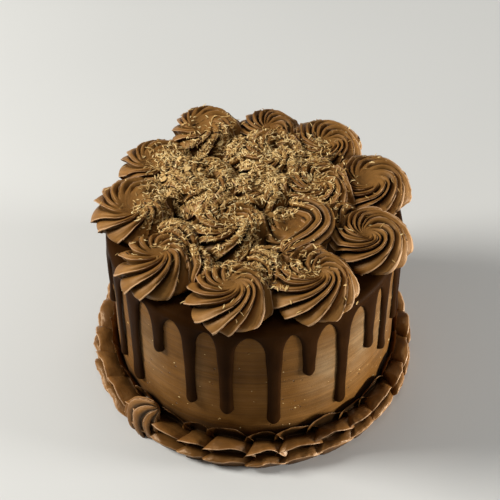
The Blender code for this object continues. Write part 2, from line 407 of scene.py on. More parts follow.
def chocolate_material(name, stops, rough_low, rough_high):
    """Grated chocolate: each bit has its own tone, paler where it is scraped."""
    m = Tree(name)
    at = m.coords()
    tone = m.attribute("tone")
    grain = m.noise(at, 1400.0, 3.0, 0.6)
    patch = m.noise(at, 320.0, 2.0)
    value = m.math("ADD", tone, m.range(patch, 0.3, 0.7, -0.10, 0.10))
    colour = m.ramp(value, *stops)
    speck = m.ramp(grain, (0.30, 0.82), (0.70, 1.15))
    colour = m.mix(1.0, colour, speck, "MULTIPLY")
    rough = m.range(grain, 0.3, 0.7, rough_low, rough_high)
    normal = m.bump(grain, 0.00010, 0.8)
    m.shader.inputs["Specular IOR Level"].default_value = 0.30
    m.shader.inputs["Specular Tint"].default_value = SHEEN_TINT
    return m.finish(colour, rough, normal)


def floor_material():
    m = Tree("pale_floor")
    at = m.coords()
    drift = m.noise(at, 3.0, 2.0)
    colour = m.ramp(drift, (0.3, (0.62, 0.63, 0.62)), (0.7, (0.66, 0.67, 0.66)))
    m.shader.inputs["Specular IOR Level"].default_value = 0.2
    return m.finish(colour, 0.7, m.bump(m.noise(at, 400.0, 2.0), 0.0001, 0.2))


# ---------------------------------------------------------------- body
# paler, greyer patches on the wall, partly uneven smears and partly painted sheen: direction in degrees, width in
# degrees, height and reach in millimetres, amount
SMEARS_AND_SHEEN = [
    (-61.0, 9.0, 62.0, 26.0, 1.00), (-44.0, 9.0, 72.0, 28.0, 1.00),
    (-29.0, 8.0, 66.0, 24.0, 0.80), (-114.0, 6.0, 62.0, 26.0, 0.30),
    (-136.0, 8.0, 64.0, 26.0, 0.60), (-166.0, 9.0, 58.0, 22.0, 0.40),
    (8.0, 11.0, 54.0, 24.0, 0.22), (47.0, 13.0, 66.0, 24.0, 0.30),
    (92.0, 12.0, 56.0, 26.0, 0.30), (141.0, 15.0, 62.0, 24.0, 0.40),
]


def build_body(mat):
    cols, rows = 640, 84
    az = 2 * np.pi * np.arange(cols) / cols
    c, s = np.cos(az)[None, :], np.sin(az)[None, :]
    side = np.linspace(0.0, BODY_H - SHOULDER, rows)[:, None]
    r = body_radius(side) + 0 * c
    x, y = r * c * 1000, r * s * 1000
    z = side * 1000 + 0 * c
    wall = 0.30 * noise(x / 34, y / 34, z / 26, 3)
    wall += 0.12 * noise(x / 26, y / 26, z / 3.1, 5)
    wall += 0.07 * noise(x / 12, y / 12, z / 1.7, 7)
    mask = smooth(0.0, 0.5, noise(x / 18, y / 18, z / 9, 9))
    wall += 0.10 * mask * noise(x / 4, y / 4, z / 2.2, 11)
    wall *= smooth(0, 3, z)
    r = r + (wall - 0.05) / 1000
    verts = [np.stack([r * c, r * s, z / 1000], -1).reshape(-1, 3)]
    arc = []
    for k in range(1, 9):
        a = math.radians(90.0 * k / 8)
        arc.append((BODY_R - SHOULDER + (SHOULDER - 0.0001) * math.cos(a),
                    BODY_H - SHOULDER + (SHOULDER - 0.0001) * math.sin(a)))
    for rr, zz in arc:
        verts.append(np.stack([rr * c[0], rr * s[0], 0 * c[0] + zz], -1))
    total = rows + len(arc)
    verts = np.concatenate(verts)
    # rows run upwards, so the quads are flipped to face out
    faces = grid_faces(total, cols, True)[:, ::-1]
    top, low = len(verts), len(verts) + 1
    verts = np.concatenate([verts, [[0, 0, BODY_H - 0.0001], [0, 0, 0]]])
    j = np.arange(cols)
    n = (j + 1) % cols
    last = (total - 1) * cols
    caps = np.concatenate([
        np.stack([np.full(cols, top), last + j, last + n], -1),
        np.stack([np.full(cols, low), n, j], -1)])
    # where the wall gets its pale smears and painted sheen
    smear_and_sheen = np.zeros(len(verts))
    at = np.degrees(np.arctan2(verts[:, 1], verts[:, 0]))
    for place, wide, high, tall, much in SMEARS_AND_SHEEN:
        d = (at - place + 180.0) % 360.0 - 180.0
        smear_and_sheen = np.maximum(smear_and_sheen, much * np.exp(
            -(d / wide) ** 2 - ((verts[:, 2] * 1000 - high) / tall) ** 2))
    return mesh_piece("body_side", verts, [faces, caps], mat,
                      ("cake_body",), {"smear_and_sheen": smear_and_sheen})


# ---------------------------------------------------------------- ganache
def build_ganache(mat):
    """The cap, its collar and its drips as one skin; each drip has its own
    patch of columns, and neighbouring patches meet between the drips."""
    mm = 1000.0
    radius = 83.0
    order = sorted(DRIPS)
    count = len(order)
    cols = 19
    v = np.linspace(-1, 1, cols)
    w = np.sin(v * np.pi / 2)
    round_r = 4.4
    collar = COLLAR_L * mm
    cap_rows = [0.12, 0.30, 0.48, 0.66, 0.82, 0.94]
    arc_rows = np.radians([0, 18, 36, 54, 72, 90])
    verts, faces_q, faces_t = [], [], []
    base = 0
    first_rows = []
    centre_fans = []
    chords = []
    for k, (az, length, half) in enumerate(order):
        left = math.radians((az - order[k - 1][0]) % 360) * radius / 2
        right = math.radians((order[(k + 1) % count][0] - az) % 360) \
            * radius / 2
        half = half * mm
        tip = length * mm
        side_s = np.linspace(round_r, collar, 6)[1:]
        fun = 8.0 + 0.40 * (left + right - 2 * half)
        q = np.linspace(0, 1, 11)[1:] ** 1.6
        funnel_s = collar + fun * q
        if funnel_s[-1] > tip - 1.6 * half:
            fun = tip - 1.6 * half - collar
            funnel_s = collar + fun * q
        stem_s = np.linspace(funnel_s[-1], tip - 1.25 * half, 14)[1:]
        tip_s = tip - 1.25 * half + 1.25 * half * np.sin(
            np.linspace(0, np.pi / 2, 10))[1:]
        s_list = np.concatenate([side_s, funnel_s, stem_s, tip_s])

        def reach(s, side):
            """Half width of the patch at depth s on one side."""
            gap = left if side < 0 else right
            x = np.full_like(s, gap)
            inside = (s > collar) & (s <= collar + fun)
            e = np.clip((collar + fun - s) / fun, 0, 1)
            x = np.where(inside, gap - (gap - 1.30 * half)
                         * np.clip(1 - e ** 1.8, 0, 1) ** 0.6, x)
            stem = s > collar + fun
            swell = 1.0 + 0.10 * np.exp(-((s - (tip - 1.1 * half))
                                          / (1.3 * half)) ** 2) \
                + 0.30 * (1 - smooth(collar + fun, collar + fun + 22.0, s))
            x = np.where(stem, half * swell, x)
            end = np.clip((s - (tip - 1.25 * half)) / (1.25 * half), 0, 1)
            return x * np.where(s > tip - 1.25 * half,
                                np.sqrt(np.clip(1 - end ** 2, 0, 1)), 1.0)

        xl, xr = reach(s_list, -1), reach(s_list, 1)
        ss = s_list[:, None] + 0 * w[None, :]
        xx = np.where(w[None, :] < 0, w[None, :] * xl[:, None],
                      w[None, :] * xr[:, None])
        # outline of this drip and the two beside it, for the distance in
        line_s = np.concatenate([
            collar + fun * np.linspace(0, 1, 60) ** 2,
            np.linspace(collar + fun, tip - 1.25 * half, 80),
            tip - 1.25 * half + 1.25 * half * np.sin(
                np.linspace(0, np.pi / 2, 40))])
        out_l = np.stack([-reach(line_s + 1e-6, -1), line_s], -1)
        out_r = np.stack([reach(line_s + 1e-6, 1), line_s], -1)
        edge = np.concatenate([out_l, out_r])
        d = np.sqrt(((np.stack([xx, ss], -1)[:, :, None, :]
                      - edge[None, None]) ** 2).sum(-1)).min(-1)
        r_edge = 1.9
        lift = np.sqrt(np.clip(1 - (1 - np.clip(d / r_edge, 0, 1)) ** 2,
                               0, 1))
        stem_w = np.exp(-(xx / (1.15 * half)) ** 2) \
            * smooth(collar - 3.0, collar + 9.0, ss)
        thick = 1.35 + (2.15 - 1.35) * stem_w \
            + 0.75 * np.exp(-((ss - (tip - 1.15 * half))
                              / (1.5 * half)) ** 2) \
            * np.exp(-(xx / half) ** 2)
        thick = thick * lift
        # the edge dips just under the cream
        thick = thick - 0.35 * (1 - np.clip(thick / 0.3, 0, 1))
        ang = math.radians(az) + xx / radius
        drop = 1.1 * noise(np.cos(ang) * 4.2, np.sin(ang) * 4.2, 0.5, 21)
        depth = ss + drop * smooth(round_r, collar, ss) \
            * (1 - smooth(collar + 6, collar + 16, ss))
        wave = 0.10 * noise(xx / 3.0 + k * 9, ss / 7.0, 0.3, 23) \
            * np.clip(thick, 0, 1)
        z = TOP_H * mm - depth
        r = body_radius(z / mm) * mm + thick + wave
        # the rounded shoulder above the side rows, then the flat cap
        ang0 = math.radians(az) + np.where(w < 0, w * left, w * right) \
            / radius
        rows = []
        for share in cap_rows:
            rr = share * (BODY_R * mm + 1.35 - round_r)
            zz = TOP_H * mm + 0.15 * noise(rr * np.cos(ang0) / 9,
                                           rr * np.sin(ang0) / 9, 0.7, 25)
            rows.append(np.stack([rr * np.cos(ang0), rr * np.sin(ang0),
                                  zz], -1))
        for phi in arc_rows:
            rr = BODY_R * mm + 1.35 - round_r + round_r * math.sin(phi)
            zz = TOP_H * mm - round_r + round_r * math.cos(phi)
            rows.append(np.stack([rr * np.cos(ang0), rr * np.sin(ang0),
                                  0 * ang0 + zz], -1))
        block = np.concatenate([
            np.stack(rows), np.stack([r * np.cos(ang), r * np.sin(ang), z],
                                     -1)])
        total = block.shape[0]
        verts.append(block.reshape(-1, 3))
        faces_q.append(grid_faces(total, cols, False, base))
        # the back of the drip, from edge to edge under the cream
        start = len(rows) + len(side_s) - 1
        a = base + np.arange(start, total - 1) * cols
        faces_q.append(np.stack([a, a + cols - 1, a + 2 * cols - 1,
                                 a + cols], -1)[:, [0, 1, 2, 3]])
        centre_fans.append(base + np.arange(cols))
        chords.append((base + start * cols, base + start * cols + cols - 1))
        base += total * cols
    verts = np.concatenate(verts)
    top = len(verts)
    inner = top + 1
    zc = TOP_H * mm - collar
    verts = np.concatenate([verts, [[0, 0, TOP_H * mm], [0, 0, zc]]])
    for fan in centre_fans:
        faces_t.append(np.stack([np.full(cols - 1, top), fan[:-1], fan[1:]],
                                -1))
    for a, b in chords:
        faces_t.append(np.array([[inner, b, a]]))
    quads = np.concatenate(faces_q)
    tris = np.concatenate(faces_t)
    # weld the seams between patches
    key = np.round(verts * 2000).astype(np.int64)
    _, first, back = np.unique(key, axis=0, return_index=True,
                               return_inverse=True)
    back = back.reshape(-1)
    verts = verts[first]
    quads, tris = back[quads], back[tris]
    same = [(quads[:, i] == quads[:, (i + 1) % 4]) for i in range(4)]
    flat = np.stack(same, -1)
    good = quads[~flat.any(1)]
    bent = quads[flat.sum(1) == 1]
    which = flat[flat.sum(1) == 1].argmax(1)
    rest = np.stack([np.delete(row, i) for row, i in zip(bent, which)]) \
        if len(bent) else np.zeros((0, 3), int)
    tris = np.concatenate([tris, rest])
    distinct = ((tris[:, 0] != tris[:, 1]) & (tris[:, 1] != tris[:, 2])
                & (tris[:, 0] != tris[:, 2]))
    return mesh_piece("ganache_cap", verts / mm, [good, tris[distinct]], mat,
                      ("ganache_drip",))


# ---------------------------------------------------------------- rosettes
KNOTS = [0.0, 0.20, 0.43, 0.67, 0.88, 1.0]
K_RHO = [0.0, 0.20, 0.50, 0.80, 1.00, 0.86]
K_Z = [0.82, 0.87, 1.00, 0.77, 0.27, 0.0]
K_DEPTH = [0.60, 2.20, 4.00, 5.10, 4.80, 1.4]
K_OUT = [0.0, 0.0, 0.12, 0.62, 1.0, 1.0]
K_UP = [1.0, 1.0, 0.99, 0.76, 0.22, 0.0]
K_TWIST = [0.0, 0.17, 0.45, 0.75, 0.97, 1.00]
VALLEY = 0.28            # the steep side of a ridge, share of the pitch
RIDGE_U = np.array([0.0, 0.015, 0.04, 0.075, 0.12, 0.17, 0.225, 0.28, 0.315,
                    0.35, 0.40, 0.46, 0.53, 0.60, 0.68, 0.76, 0.83, 0.88,
                    0.92, 0.95, 0.975])

# small holes left open between the ropes: centre x, y, radius, depth
HOLLOWS = [
    (-24, -36, 3.2, 5.0), (-19, -46, 2.8, 4.5), (4.4, -26, 4.2, 5.0),
    (13, -27, 3.6, 4.0), (-59, -22, 3.6, 5.0), (-22, 19, 3.2, 5.0),
    (13, 43, 3.2, 4.5), (13, 51, 2.6, 4.0), (-39, 4, 2.8, 4.5),
    (3, -5, 2.8, 4.0), (46, 31, 2.8, 4.5), (-27, 26, 2.4, 4.0),
    (21, 40, 2.4, 4.0), (47, -18, 3.2, 5.0), (25, -45, 2.8, 4.0),
    (18, 23, 2.4, 3.5), (46, -5, 2.6, 4.0), (-10, 30, 2.0, 3.0),
]


def cell_planes(index):
    """Planes that part a rosette from its neighbours: direction, limit."""
    x0, y0, r0 = ROSETTES[index][0:3]
    planes = []                      # direction, limit, heap at the joint
    for k, other in enumerate(ROSETTES):
        if k == index:
            continue
        dx, dy = other[0] - x0, other[1] - y0
        d = math.hypot(dx, dy)
        lim = (d * d + r0 * r0 - other[2] * other[2]) / (2.0 * d)
        if lim < r0 + 8.0:
            inner = index > 9 or k > 9
            planes.append((dx / d, dy / d, lim + (2.6 if inner else 1.9),
                           0.58 if inner else 0.30))
    return planes


def build_rosette(index, mat):
    x0, y0, r0, h0, sx, sy, lift, ridges, phase, twist = ROSETTES[index]
    rng = np.random.default_rng(100 + index)
    planes = cell_planes(index)
    base = TOP_H * 1000.0 - 0.2
    rows = np.concatenate([np.linspace(0.02, 0.20, 7),
                           np.linspace(0.20, 0.67, 17)[1:],
                           np.linspace(0.67, 0.93, 15)[1:],
                           np.linspace(0.93, 1.0, 5)[1:]])
    t = rows[:, None]
    rho = curve(KNOTS, K_RHO, t)
    zs = curve(KNOTS, K_Z, t)
    depth = curve(KNOTS, K_DEPTH, t)
    out = curve(KNOTS, K_OUT, t)
    up = curve(KNOTS, K_UP, t)
    tw = curve(KNOTS, K_TWIST, t)
    # ridge lines: each has its own place, depth and slow wander
    pitch = 360.0 / ridges
    j = np.repeat(np.arange(ridges), len(RIDGE_U))[None, :]
    u = np.tile(RIDGE_U, ridges)[None, :]
    jit = rng.uniform(-0.20, 0.20, ridges)
    deep = rng.uniform(0.75, 1.25, ridges)

    def line(k):
        k = k % ridges
        wander = 0.14 * noise(k * 3.7 + index * 17.0, t * 3.2, 0.5, 31)
        return jit[k] + wander * smooth(0.05, 0.4, t)

    here, after = line(j), line(j + 1)
    place = j + here + u * (1.0 + after - here)
    # a round full lobe climbs to a thin lip, then drops steeply behind it
    d0 = np.clip(u / VALLEY, 0, 1)
    d1 = np.clip((u - VALLEY) / (1 - VALLEY), 0, 1)
    knots_u = [0.0, 0.12, 0.30, 0.52, 0.74, 0.88, 0.95, 1.0]
    knots_h = [0.0, 0.42, 0.80, 1.00, 0.93, 0.76, 0.76, 0.84]
    hump = np.where(u < VALLEY, 0.84 * (1 - np.sin(np.pi / 2 * d0) ** 0.8),
                    curve(knots_u, knots_h, d1))
    blade = np.where(u < VALLEY, 1 - np.sin(np.pi / 2 * d0) ** 0.8,
                     0.88 * (1 - (1 - d1) ** 1.6) + 0.12 * d1 ** 8)
    near_rim = 0.90 * smooth(0.48, 0.84, t)
    crest = hump * (1 - near_rim) + blade * near_rim
    open_ = np.where(u < VALLEY,
                     np.interp(d0, [0, 0.12, 0.26, 0.5], [1, 1, 0.22, 0]),
                     np.interp(d1, [0, 0.12, 0.28, 0.50, 0.80, 0.89, 0.93, 1.0],
                               [0, 0.14, 0.60, 0.88, 0.80, 0.62, 1.0, 1.0]))
    # out at the rim the grooves open up and their shade with them
    wide = np.where(u < VALLEY,
                    np.interp(d0, [0, 0.12, 0.24, 0.45], [1, 1, 0.16, 0]),
                    np.interp(d1, [0, 0.16, 0.42, 0.70, 0.88, 0.93, 1.0],
                              [0, 0.06, 0.46, 0.84, 0.72, 1.0, 1.0]))
    open_ = open_ * (1 - near_rim) + wide * near_rim
    scale = deep[j % ridges] * (1 - u) + deep[(j + 1) % ridges] * u
    lean = 0.04 + 0.14 * smooth(0.25, 0.85, t)
    place = place + lean * crest ** 2
    a = np.radians(phase + place * pitch - twist * tw
                   + 40.0 * np.clip(1 - rho / 0.30, 0, 1) ** 2)
    ux, uy = np.cos(a), np.sin(a)
    s = np.ones_like(a)
    heap_up = np.zeros_like(a)
    for nx, ny, lim, high in planes:
        q = ux * nx + uy * ny
        s_here = np.where(q > 1e-6, (lim - 0.1)
                          / (np.maximum(q, 1e-6) * r0), 9.0)
        s = np.minimum(s, s_here)
        heap_up = np.maximum(heap_up, high * np.clip((1.10 - s_here) / 0.22,
                                                     0, 1))
    rhoc = np.clip(rho, 0, 1)
    free = 1.0 - (1.0 - s) * rhoc ** 1.5
    # where two rosettes press together the cream is heaped up at the joint
    heap = heap_up * smooth(0.50, 0.88, t) * (1 - smooth(0.90, 1.0, t))
    zs = zs + heap
    calm = smooth(HUB[index] - 0.12, HUB[index] + 0.16, rho)
    cut = depth * scale * DEEP[index] * calm * (1 - crest)
    # crests reach out at the rim, where each ends in a thin pointed tip
    flare = smooth(0.62, 0.86, t) * (1 - smooth(0.90, 1.0, t))
    tip = flare * (crest ** 1.6) * rng.uniform(0.5, 1.6, ridges)[j % ridges]
    rad = r0 * rho * free - cut * out + 1.5 * tip * smooth(0.9, 1.1, s)
    z = h0 * zs - cut * up - 0.5 * tip
    fade = np.clip(1.0 - rho, 0, 1) ** 1.2
    px = sx * fade + rad * ux
    py = sy * fade + rad * uy
    hold = np.ones_like(a)
    for nx, ny, lim, _ in planes:
        q = px * nx + py * ny
        hold = np.minimum(hold, np.where(q > lim + 0.6, (lim + 0.6)
                                         / np.maximum(q, 1e-6), 1.0))
    px, py = px * hold, py * hold
    wx, wy = x0 + px, y0 + py
    far = np.hypot(wx, wy)
    edge = EDGE_R * 1000.0
    foot = smooth(0.20, 0.0, zs)
    under = smooth(0.80, 0.35, zs) * (1 - foot)
    z = z - DROOP * np.maximum(0, far - edge - 1.0) * under
    clip = np.minimum(1.0, edge / np.maximum(far, 1e-6))
    wx = wx * (1 - foot + foot * clip)
    wy = wy * (1 - foot + foot * clip)
    z = z * (1 - foot) + foot * 0.0
    z = z + lift * np.clip(zs, 0, 1)
    z = np.maximum(z, 0.0)
    # uneven hand work: slow bulges, and crumbly stretches of crest
    keep = 1 - foot
    wx = wx + 0.45 * keep * noise(wx / 11, wy / 11, z / 9, 41 + index)
    wy = wy + 0.45 * keep * noise(wx / 11, wy / 11, z / 9, 71 + index)
    z = z + 0.60 * keep * noise(wx / 9, wy / 9, 0.5, 91 + index)
    for hx, hy, hr, hd in HOLLOWS:
        z = z - hd * keep * np.exp(-((wx - hx) ** 2 + (wy - hy) ** 2)
                                   / (hr * hr)) * smooth(0.3, 0.6, zs)
    crumb = smooth(0.10, 0.55, noise(wx / 6, wy / 6, z / 6, 121 + index))
    lip = smooth(0.90, 1.0, open_)
    rough = (0.30 * crumb + 0.34 * lip) * noise(wx / 0.9, wy / 0.9, z / 0.9,
                                                151 + index) * calm
    z = z + rough * keep
    wx = wx + 0.6 * rough * keep * ux
    wy = wy + 0.6 * rough * keep * uy
    verts = np.stack([wx, wy, base + z], -1) / 1000.0
    n_rows, n_cols = verts.shape[:2]
    verts = verts.reshape(-1, 3)
    top = np.array([[(x0 + sx) / 1000, (y0 + sy) / 1000,
                     (base + 0.82 * h0 + lift) / 1000]])
    low = np.array([[x0 / 1000, y0 / 1000, base / 1000]])
    verts = np.concatenate([verts, top, low])
    quads = grid_faces(n_rows, n_cols, True)
    c = np.arange(n_cols)
    n = (c + 1) % n_cols
    last = (n_rows - 1) * n_cols
    it, il = len(verts) - 2, len(verts) - 1
    tris = np.concatenate([
        np.stack([np.full(n_cols, it), c, n], -1),
        np.stack([np.full(n_cols, il), last + n, last + c], -1)])
    flow = np.stack([(j + u) * 6.0 + 0 * t, t * 3.5 + 0 * u,
                     np.full_like(a, index * 7.0)], -1).reshape(-1, 3)
    hub = 1 - calm
    # painted shade in the grooves and painted highlight on the lips, kept in the crest attribute; the rosettes facing
    # the lamp keep lighter grooves
    lit_side_shade_floor = (0.22 if index in (0, 1, 2, 9)
                  else 0.12 if index in (8, 13, 14, 15) else 0.0)
    painted_shade_and_highlight = np.maximum(open_ ** GROOVE_SHADE_POWER[index] * (1 - hub) + 0.80 * hub,
                         lit_side_shade_floor)
    # painted shade in the hollows between the ropes
    for hx, hy, hr, _ in HOLLOWS:
        painted_shade_and_highlight = painted_shade_and_highlight * (1 - 0.7 * np.exp(
            -((wx - hx) ** 2 + (wy - hy) ** 2) / (hr * hr)))
    painted_shade_and_highlight = painted_shade_and_highlight.reshape(-1)
    flow = np.concatenate([flow, flow[:1], flow[:1]])
    painted_shade_and_highlight = np.concatenate([painted_shade_and_highlight, [0.5, 0.0]])
    name = "piped_rosette_%02d" % (index + 1)
    return mesh_piece(name, verts, [quads, tris], mat,
                      ("rosette_%02d" % (index + 1),),
                      {"crest": painted_shade_and_highlight}, {"flow": flow})


# a rope of cream that trails off over the front inner rosette: centre line
# x, y and height above the ganache, and radius; millimetres
ROPE = [
    (20.5, 1.0, 11.5, 5.0), (28.0, -5.5, 14.0, 7.6), (34.0, -13.0, 15.0, 8.8),
    (35.0, -21.5, 14.6, 8.8), (28.8, -29.0, 14.4, 8.0),
    (21.2, -34.6, 14.8, 6.6), (15.0, -39.2, 14.4, 5.2),
]


# short ropes that fill the gaps between the rosettes, in the same form
FILLERS = [
    [(-52.0, -16.0, 6.0, 5.0), (-45.0, -18.0, 8.5, 8.0),
     (-38.0, -24.0, 9.5, 8.6), (-33.0, -31.0, 8.0, 6.0)],
    [(-36.0, -33.0, 7.0, 6.0), (-32.0, -40.0, 9.5, 8.4),
     (-29.0, -48.0, 9.0, 8.0), (-32.0, -55.0, 5.5, 5.0)],
    [(-1.0, -37.0, 8.0, 6.0), (4.0, -41.0, 10.0, 8.2),
     (9.5, -47.0, 9.0, 7.6), (10.5, -54.0, 6.0, 5.0)],
    [(-14.0, 33.0, 8.0, 5.5), (-8.0, 40.0, 9.5, 8.2),
     (-7.0, 48.0, 9.0, 7.6), (-9.0, 56.0, 6.0, 5.0)],
    [(44.0, -14.0, 8.0, 5.0), (46.0, -8.0, 9.5, 7.0),
     (50.0, -3.0, 8.0, 6.4), (56.0, -1.0, 5.0, 4.4)],
]


# the big uneven knot where the border starts and ends: azimuth (degrees),
# distance from the axis, height and radius; millimetres
KNOT = [
    (222.5, 88.6, 1.0, 11.5), (224.5, 88.8, 8.0, 13.2),
    (226.5, 88.2, 15.5, 11.6), (229.0, 86.8, 21.5, 7.0),
    (231.5, 85.8, 24.6, 2.8),
]


def build_rope(name, path, ref, squash, ridges, turn, mat, seed):
    """A rope has the star section of the nozzle, with lips like those of
    the rosettes, and rounded ends."""
    rng = np.random.default_rng(seed)
    path = np.array(path, float)
    knots = np.arange(len(path), dtype=float)
    n_rows = 64
    # rows crowd towards the two round ends
    q = np.linspace(0, 1, n_rows)
    place = (len(path) - 1) * q
    centre = np.stack([curve(knots, path[:, k], place) for k in range(3)], -1)
    radius = curve(knots, path[:, 3], place)
    end = np.minimum(1, np.sqrt(np.clip(1 - (1 - np.clip(
        np.minimum(q / 0.10, (1 - q) / 0.09), 0, 1)) ** 2, 0, 1)))
    radius = np.maximum(radius * end, 0.05)
    ahead = np.gradient(centre, axis=0)
    ahead /= np.linalg.norm(ahead, axis=1, keepdims=True)
    side = np.cross(ahead, ref)
    side /= np.linalg.norm(side, axis=1, keepdims=True)
    above = np.cross(side, ahead)
    deep = rng.uniform(0.8, 1.2, ridges)
    jit = rng.uniform(-0.15, 0.15, ridges)
    j = np.repeat(np.arange(ridges), len(RIDGE_U))[None, :]
    u = np.tile(RIDGE_U, ridges)[None, :]
    here, after = jit[j], jit[(j + 1) % ridges]
    phi = 2 * np.pi * (j + here + u * (1 + after - here)) / ridges
    phi = phi + turn * (0.9 * q[:, None] + 0.5 * np.sin(3.0 * q[:, None]))
    d0 = np.clip(u / VALLEY, 0, 1)
    d1 = np.clip((u - VALLEY) / (1 - VALLEY), 0, 1)
    hump = np.where(u < VALLEY, 0.84 * (1 - np.sin(np.pi / 2 * d0) ** 0.8),
                    curve([0.0, 0.12, 0.30, 0.52, 0.74, 0.88, 0.95, 1.0],
                          [0.0, 0.42, 0.80, 1.00, 0.93, 0.76, 0.76, 0.84],
                          d1))
    open_ = np.where(u < VALLEY,
                     np.interp(d0, [0, 0.12, 0.26, 0.5], [1, 1, 0.22, 0]),
                     np.interp(d1, [0, 0.12, 0.28, 0.50, 0.80, 0.89, 0.93, 1.0],
                               [0, 0.14, 0.60, 0.88, 0.80, 0.62, 1.0, 1.0]))
    scale = deep[j] * (1 - u) + deep[(j + 1) % ridges] * u
    rad = radius[:, None] * (1 - 0.34 * scale * (1 - hump))
    pts = centre[:, None, :] + rad[..., None] * (
        np.cos(phi)[..., None] * side[:, None, :]
        + squash * np.sin(phi)[..., None] * above[:, None, :])
    x, y, z = pts[..., 0], pts[..., 1], pts[..., 2]
    wobble = 0.35 * noise(x / 6, y / 6, z / 6, 401)
    lip = smooth(0.90, 1.0, open_)
    rough = (0.12 + 0.20 * lip) * noise(x / 0.9, y / 0.9, z / 0.9, 403)
    pts = pts + (wobble + rough)[..., None] * (
        np.cos(phi)[..., None] * side[:, None, :]
        + np.sin(phi)[..., None] * above[:, None, :])
    pts[..., 2] = np.maximum(pts[..., 2], 0.02)
    cols = pts.shape[1]
    verts = np.concatenate([pts.reshape(-1, 3), [pts[0].mean(0)],
                            [pts[-1].mean(0)]]) / 1000.0
    quads = grid_faces(n_rows, cols, True)
    c = np.arange(cols)
    n = (c + 1) % cols
    last = (n_rows - 1) * cols
    a, b = len(verts) - 2, len(verts) - 1
    tris = np.concatenate([
        np.stack([np.full(cols, a), c, n], -1),
        np.stack([np.full(cols, b), last + n, last + c], -1)])
    # painted shade in the grooves and painted highlight on the lips, for the crest attribute
    tone = (open_ ** 1.3 + 0 * phi).reshape(-1)
    flow = np.stack([(j + u) * 6.0 + 0 * phi, q[:, None] * 9.0 + 0 * phi,
                     np.full_like(phi, 131.0)], -1).reshape(-1, 3)
    return mesh_piece(name, verts, [quads, tris], mat, (),
                      {"crest": np.concatenate([tone, [0.5, 0.5]])},
                      {"flow": np.concatenate([flow, flow[:1], flow[:1]])})


# ---------------------------------------------------------------- border
def wall_clear(az, z):
    c, s = np.cos(az), np.sin(az)
    r = body_radius(z) + GAP
    off = SHELL_OFF_X
    return -off * c + np.sqrt(r * r - off * off * s * s)


# section of a shell: share of the width, height (mm), and how each stretch
# to the next point bows (+ out); three thin fins over deep hollows
SHELL_SECTION = [
    (-0.06, 0.0, 0.0), (-0.06, 14.0, 0.04), (0.26, 22.3, -0.10),
    (0.03, 12.2, 0.16), (0.86, 14.6, -0.16), (0.44, 7.2, 0.18),
    (1.00, 5.8, -0.10), (0.80, 0.0, 0.0),
]


def shell_profile():
    """Points round the section: place, how close each is to a crest, and
    how open it lies (0 deep in a hollow, 1 on a crest)."""
    pts, near, open_ = [], [], []
    section = SHELL_SECTION
    samples = [3, 7, 9, 10, 9, 9, 6]
    crest_at = {2, 4, 6}
    for k in range(len(section) - 1):
        w0, h0, bow = section[k]
        w1, h1, _ = section[k + 1]
        n = samples[k]
        for i in range(n):
            s = i / n
            if k in crest_at:
                s = s ** 1.5
            elif k + 1 in crest_at:
                s = 1 - (1 - s) ** 1.5
            # width is worth about 14 mm, so the bow is square to the line
            dx, dy = (w1 - w0) * 14.0, h1 - h0
            ln = math.hypot(dx, dy)
            b = bow * ln * 4 * s * (1 - s)
            w = w0 + (w1 - w0) * s - b * (dy / ln) / 14.0
            h = h0 + dy * s + b * (dx / ln)
            pts.append((w, h))
            if k in crest_at:
                near.append(max(0.0, 1 - s * 1.5))
                open_.append(max(0.0, 1 - s * 2.6) if k < 6
                             else max(0.25, 1 - s * 2.0))
            elif k + 1 in crest_at:
                near.append(max(0.0, 1 - (1 - s) * 1.5))
                open_.append(0.10 + 0.42 * s if s < 0.86
                             else min(1.0, 0.46 + (s - 0.86) / 0.08 * 0.54))
            else:
                near.append(0.0)
                open_.append(0.3)
    pts.append(section[-1][:2])
    near.append(0.1)
    open_.append(0.1)
    return np.array(pts), np.array(near), np.array(open_)


